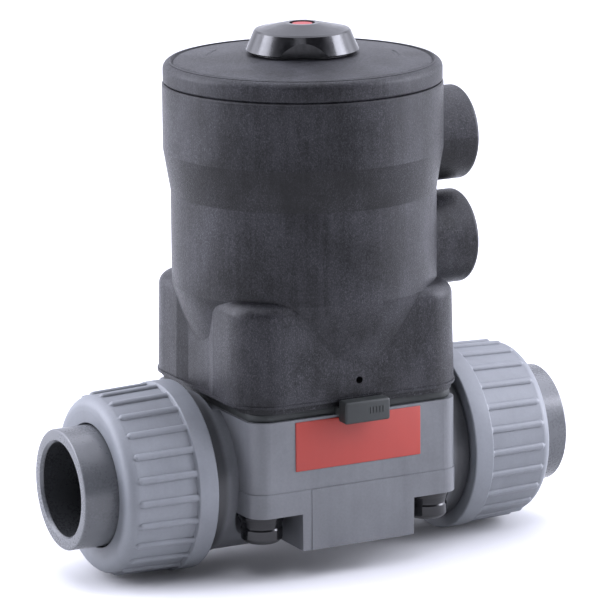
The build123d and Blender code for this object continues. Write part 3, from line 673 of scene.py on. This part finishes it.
def bolt_caps():
    """Four caps with a flared skirt over the washer and a bulb over the bolt head."""
    height = CAP_Z1 - CAP_Z0
    outline = rounded(
        [
            (0.0, CAP_Z0 + 0.0002, 0),
            (CAP_BULB_R - 0.0012, CAP_Z0, 0.001),
            (CAP_BULB_R, CAP_Z0 + 0.0012, 0.0012),
            (CAP_BULB_R, CAP_Z0 + height * 0.48, 0.0006),
            (CAP_BULB_R - 0.0003, CAP_Z0 + height * 0.55, 0.0008),
            (CAP_SKIRT_R - 0.0009, CAP_Z1 - 0.0022, 0.0014),
            (CAP_SKIRT_R, CAP_Z1 - 0.0004, 0.0003),
            (CAP_SKIRT_R - 0.0003, CAP_Z1, 0.0002),
            (WASHER_R, CAP_Z1, 0.0002),
            (WASHER_R, WASHER_Z - 0.0001, 0.0002),
            (CAP_POCKET_R, WASHER_Z - 0.0001, 0.0002),
            (CAP_POCKET_R, WASHER_Z - CAP_POCKET_DEPTH, 0.0002),
            (0.0, WASHER_Z - CAP_POCKET_DEPTH, 0),
        ],
        closed=False,
    )
    angles = np.linspace(0, 2 * pi, 65)[:-1]
    caps = []
    for x in (-BOLT_X, BOLT_X):
        for y in (-BOLT_Y, BOLT_Y):
            place = Matrix.Translation((x, y, 0))
            caps.append(turned("cap", outline, place, angles, closed=False))
    covers = joined("bolt_covers", caps)
    declare(covers, "root", "bolt_cap_plastic", MATERIALS["bolt_cap_plastic"], "bolt_caps")


# ------------------------------------------------------------------ diaphragm


def rectangle_radius(angle, half_x, half_y, corner):
    """Distance from the middle to the edge of a rounded rectangle, along each angle."""
    c, s = np.abs(np.cos(angle)), np.abs(np.sin(angle))
    flat = np.minimum(half_x / np.maximum(c, 1e-9), half_y / np.maximum(s, 1e-9))
    px, py = half_x - corner, half_y - corner
    middle = c * px + s * py
    corner_reach = middle + np.sqrt(np.maximum(middle**2 - px**2 - py**2 + corner**2, 0))
    on_corner = (flat * c > px) & (flat * s > py)
    return np.where(on_corner, corner_reach, flat)


def diaphragm_rim():
    """The nearly square clamped rim with a rounded bead around its edge."""
    bead = (RIM_Z1 - RIM_Z0) / 2
    middle = (RIM_Z0 + RIM_Z1) / 2
    curve = [radians(a) for a in range(-90, 91, 15)]
    edge = [(1.0 - 0.018 * (1 - cos(a)), middle + bead * sin(a)) for a in curve]
    outline = [(0.0, RIM_Z0), *edge, (0.0, RIM_Z1)]

    def square(share, height, angle):
        reach = rectangle_radius(angle, RIM_HALF_X, RIM_HALF_Y, RIM_CORNER_R)
        return RIM_HOLE_R + share * (reach - RIM_HOLE_R) - share

    angles = np.linspace(0, 2 * pi, 361)[:-1]
    return turned("rim", outline, angles=angles, shift=square)


def tab_marks():
    """Equal plain bars on the tab's face, in place of the lettering on the real one."""
    bars = []
    face_y = rubber_low.y
    for index in range(BAR_COUNT):
        x = BAR_X0 + index * BAR_PITCH
        z = (TAB_Z0 + TAB_Z1) / 2 + BAR_RISE
        low = (x, face_y + 0.00002, z - BAR_TALL / 2)
        high = (x + BAR_W, face_y + 0.0009, z + BAR_TALL / 2)
        bars.append(block("bar", low, high, 0.0001, 2))
    return bars


def bowl_arc(ball_r, start, end, count):
    """Points on a ball round the bowl's centre, between two angles from straight down."""
    return [
        (ball_r * sin(a), BOWL_CENTRE_Z - ball_r * cos(a)) for a in np.linspace(start, end, count)
    ]


def diaphragm():
    """The rubber: its clamped rim and tab, which stand still, and its bowl."""
    tab_low = (-TAB_HALF_W, rubber_low.y + TAB_FACE_INSET, TAB_Z0)
    tab_high = (TAB_HALF_W, rubber_low.y + TAB_BACK, TAB_Z1)
    tab = block("tab", tab_low, tab_high, 0.0009, 5)
    web_low = (-TAB_HALF_W, WEB_Y0, RIM_Z0 + 0.0001)
    web_high = (TAB_HALF_W, WEB_Y1, RIM_Z1 - 0.0001)
    web = block("web", web_low, web_high, 0.0002, 2)
    rim = joined("diaphragm_rim", [diaphragm_rim(), tab, web, *tab_marks()])
    rim.data.shade_smooth()
    rim.data.set_sharp_from_angle(angle=radians(40))
    declare(rim, "root", "diaphragm_rubber", MATERIALS["diaphragm_rubber"], "diaphragm")

    outer = bowl_arc(BOWL_R_OUT, 0, np.arcsin(BOWL_REACH / BOWL_R_OUT), 28)
    inner = bowl_arc(BOWL_R_IN, np.arcsin(BOWL_REACH / BOWL_R_IN), BOWL_INNER_TURN, 20)
    boss = [
        (BOSS_R, BOSS_Z0),
        (BOSS_R, BOSS_Z1),
        (STUD_NECK_R, BOSS_Z1),
        (STUD_NECK_R, STUD_HEAD_Z1),
        (STUD_HEAD_R, STUD_HEAD_Z1),
        (STUD_HEAD_R, STUD_HEAD_Z0),
        (0.0, STUD_HEAD_Z0),
    ]
    bowl = turned("diaphragm_bowl", outer + inner + boss, closed=False)
    bowl.data.materials.append(MATERIALS["diaphragm_rubber"])
    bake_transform(bowl)
    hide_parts("diaphragm")


# ------------------------------------------------------------------ springs


def coil(name, node, wire_r, turns):
    """A compression spring with closed ends."""
    low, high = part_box(node)
    mean_r = high.x - wire_r
    bottom, top = low.z + wire_r, high.z - wire_r
    steps = int(turns * 48)
    share = np.linspace(0, 1, steps + 1)
    lead = END_TURN / turns
    eased = np.clip((share - lead) / (1 - 2 * lead), 0, 1)
    first, last = np.clip(share / lead, 0, 1), np.clip((share - 1 + lead) / lead, 0, 1)
    rise = 2 * wire_r * END_TURN * (first + last)
    height = bottom + rise + eased * (top - bottom - 4 * wire_r * END_TURN)
    angle = share * turns * 2 * pi
    centre = np.stack([mean_r * np.cos(angle), mean_r * np.sin(angle), height], -1)
    around = np.linspace(0, 2 * pi, 17)[:-1]
    out = np.stack([np.cos(angle), np.sin(angle), 0 * angle], -1)
    up = np.array((0.0, 0.0, 1.0))
    rings = centre[:, None] + wire_r * (
        np.cos(around)[None, :, None] * out[:, None] + np.sin(around)[None, :, None] * up
    )
    count = len(around)
    number = np.arange((steps + 1) * count).reshape(steps + 1, count).tolist()
    faces = [
        (here[k], here[(k + 1) % count], ahead[(k + 1) % count], ahead[k])
        for here, ahead in zip(number[:-1], number[1:])
        for k in range(count)
    ]
    faces.append(tuple(range(count)))
    faces.append(tuple(steps * count + k for k in range(count)))
    spring = new_piece(name, rings.reshape(-1, 3), faces, sharp=60)
    declare(spring, "root", "spring_steel", MATERIALS["spring_steel"], node)
    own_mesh(spring)


# ------------------------------------------------------------------ lid


def arc_depth(radius, angle):
    """Share of the full depth of two shallow arcs on the lid's cone, beside the cap."""
    line = max(1 - abs(radius - ARC_R) / ARC_HALF_W, 0)
    depth = 0
    for middle in ARC_MIDDLES:
        turn = (angle - middle + pi) % (2 * pi) - pi
        ends = min(max((ARC_HALF_TURN - abs(turn)) / ARC_FADE, 0), 1)
        depth = max(depth, ends * line)
    return depth


def press_arcs(piece):
    """Press the arcs into the lid's cone."""
    for vertex in piece.data.vertices:
        radius = vertex.co.xy.length
        if LID_TOP_Z > vertex.co.z > LID_CREASE_Z and LID_TOP_R < radius < LID_CREASE_R:
            vertex.co.z -= ARC_DEPTH * arc_depth(radius, np.arctan2(vertex.co.y, vertex.co.x))


def lid():
    """The screwed lid: rolled rim, creased ring and a low cone up to the cap's seat."""
    top = rounded(
        [
            (LID_SKIRT_R0, LID_SKIRT_Z, 0.0003),
            (LID_SKIRT_R1, LID_SKIRT_Z, 0.0003),
            (LID_SKIRT_R1, LID_Z0 + 0.0001, 0),
            (LID_R - 0.0006, LID_Z0 + 0.0001, 0.0002),
            (LID_R, LID_Z0 + 0.0008, 0.0006),
            (LID_R, LID_CREASE_Z + 0.0003, 0.0027),
            (LID_CREASE_R + 0.0006, LID_CREASE_Z + 0.0003, 0.0006),
            (LID_CREASE_R - 0.0002, LID_CREASE_Z - 0.0007, 0.0005),
            (LID_CREASE_R - 0.0014, LID_CREASE_Z + 0.0002, 0.0008),
        ],
        closed=False,
        steps=8,
    )
    cone_foot = (LID_CREASE_R - 0.0022, LID_CREASE_Z + 0.0003)
    cone = along(cone_foot, (LID_TOP_R, LID_TOP_Z), 110)
    inside = rounded(
        [
            (LID_TOP_R, LID_TOP_Z, 0),
            (LID_SEAT_R, LID_TOP_Z + 0.0001, 0.0002),
            (LID_SEAT_R, LID_SEAT_Z, 0.0002),
            (LID_BORE_R, LID_SEAT_Z, 0.0002),
            (LID_BORE_R, LID_HUB_Z, 0.0002),
            (LID_HUB_R, LID_HUB_Z, 0.0003),
            (LID_HUB_R, LID_UNDER_Z, 0.0003),
            (LID_SKIRT_R0, LID_UNDER_Z, 0.0003),
            (LID_SKIRT_R0, LID_HUB_Z, 0),
        ],
        closed=False,
        steps=3,
    )
    outline = [tuple(p) for p in (*top, *cone, *inside)]

    angles = np.linspace(0, 2 * pi, 361)[:-1]
    piece = turned("screwed_lid", outline, angles=angles)
    press_arcs(piece)
    declare(piece, "root", "lid_composite", MATERIALS["lid_composite"], "actuator_lid")


# ------------------------------------------------------------------ studio

DAYLIGHT = (0.94, 0.955, 1.10)
FRONT_AZIMUTH = 27.5
FLOOR_HALF = 4.0
VALVE_MIDDLE = Vector((0, 0, 0.08))

# Brightness of the room, from straight behind the valve (0) to straight in front of it (1)
ROOM_LEVELS = ((0.0, 0.30), (0.12, 0.34), (0.24, 1.0), (0.40, 1.0), (0.80, 0.03))
ROOM_STRENGTH = 4.2

CAMERA_ELEVATION, CAMERA_ROLL = 13.03, -0.49
CAMERA_TARGET, CAMERA_DISTANCE = Vector((-0.00174, 0, 0.07729)), 1.38928
LENS_LENGTH, SENSOR_WIDTH = 241.8, 36


def floor():
    mesh = bpy.data.meshes.new("floor")
    turns = ((-1, -1), (1, -1), (1, 1), (-1, 1))
    corners = [(x * FLOOR_HALF, y * FLOOR_HALF, FLOOR_Z) for x, y in turns]
    mesh.from_pydata(corners, [], [(0, 1, 2, 3)])
    mesh.materials.append(painted_floor())
    ground = bpy.data.objects.new("studio_floor", mesh)
    bpy.context.scene.collection.objects.link(ground)


def toward(azimuth, elevation):
    """Unit vector from the valve to a viewer; the azimuth goes from the front towards -X."""
    flat = cos(elevation)
    return Vector((-sin(azimuth) * flat, -cos(azimuth) * flat, sin(elevation)))


def softbox(name, azimuth, elevation, distance, size, power, spread=180):
    """A rectangular soft light facing the valve; `spread` is the cone it shines in, in degrees."""
    light = bpy.data.lights.new(name, "AREA")
    light.shape = "RECTANGLE"
    light.size, light.size_y = size
    light.energy = power
    light.color = DAYLIGHT
    light.spread = radians(spread)
    lamp = bpy.data.objects.new(name, light)
    direction = toward(radians(azimuth), radians(elevation))
    lamp.location = VALVE_MIDDLE + direction * distance
    lamp.rotation_euler = direction.to_track_quat("Z", "Y").to_euler()
    bpy.context.scene.collection.objects.link(lamp)


def studio():
    """A room that is white behind the valve, brighter yet at its sides and dark in front."""
    world = bpy.data.worlds.new("studio")
    world.use_nodes = True
    nodes, links = world.node_tree.nodes, world.node_tree.links
    background = nodes["Background"]
    background.inputs["Color"].default_value = (*DAYLIGHT, 1)
    facing = nodes.new("ShaderNodeVectorMath")
    facing.operation = "DOT_PRODUCT"
    facing.inputs[1].default_value = toward(radians(FRONT_AZIMUTH), 0)
    links.new(nodes.new("ShaderNodeTexCoord").outputs["Generated"], facing.inputs[0])
    sides = nodes.new("ShaderNodeValToRGB")
    sides.color_ramp.interpolation = "EASE"
    while len(sides.color_ramp.elements) < len(ROOM_LEVELS):
        sides.color_ramp.elements.new(0.5)
    for element, (place, level) in zip(sides.color_ramp.elements, ROOM_LEVELS):
        element.position = place
        element.color = (level, level, level, 1)
    share = nodes.new("ShaderNodeMapRange")
    share.inputs["From Min"].default_value = -1
    links.new(facing.outputs["Value"], share.inputs["Value"])
    links.new(share.outputs["Result"], sides.inputs["Fac"])
    strength = nodes.new("ShaderNodeMath")
    strength.operation = "MULTIPLY"
    strength.inputs[1].default_value = ROOM_STRENGTH
    links.new(sides.outputs["Color"], strength.inputs[0])
    links.new(strength.outputs["Value"], background.inputs["Strength"])
    bpy.context.scene.world = world
    bpy.context.scene.view_settings.view_transform = "Standard"
    softbox("key_left", FRONT_AZIMUTH + 92, 20, 1.2, (0.5, 0.9), 13)
    softbox("key_right", FRONT_AZIMUTH - 92, 18, 1.2, (0.5, 0.9), 17)
    softbox("front_high", FRONT_AZIMUTH + 8, 52, 1.3, (0.5, 0.5), 0.5, 60)


def camera():
    """Long lens, a little above and to the left of the front."""
    azimuth, roll = radians(FRONT_AZIMUTH), radians(CAMERA_ROLL)
    back = toward(azimuth, radians(CAMERA_ELEVATION))
    right = Vector((cos(azimuth), -sin(azimuth), 0))
    up = back.cross(right)
    across = cos(roll) * right + sin(roll) * up
    upward = cos(roll) * up - sin(roll) * right
    lens = bpy.data.cameras.new("camera")
    lens.lens, lens.sensor_width = LENS_LENGTH, SENSOR_WIDTH
    eye = bpy.data.objects.new("camera", lens)
    rotation = Matrix((across, upward, back)).transposed().to_4x4()
    eye.matrix_world = Matrix.Translation(CAMERA_TARGET + back * CAMERA_DISTANCE) @ rotation
    bpy.context.scene.collection.objects.link(eye)
    bpy.context.scene.camera = eye


# ------------------------------------------------------------------ the valve

finish_cad_nodes()
for side_name, side in SIDES.items():
    union_nut(side_name, side)
    union_end(side_name, side)
    body_thread(side_name, side)
label_plate()
bolt_caps()
diaphragm()
coil("closing_spring_outer", "spring_outer", 0.00225, 6)
coil("closing_spring_inner", "spring_inner", 0.00175, 7.5)
lid()
floor()
studio()
camera()
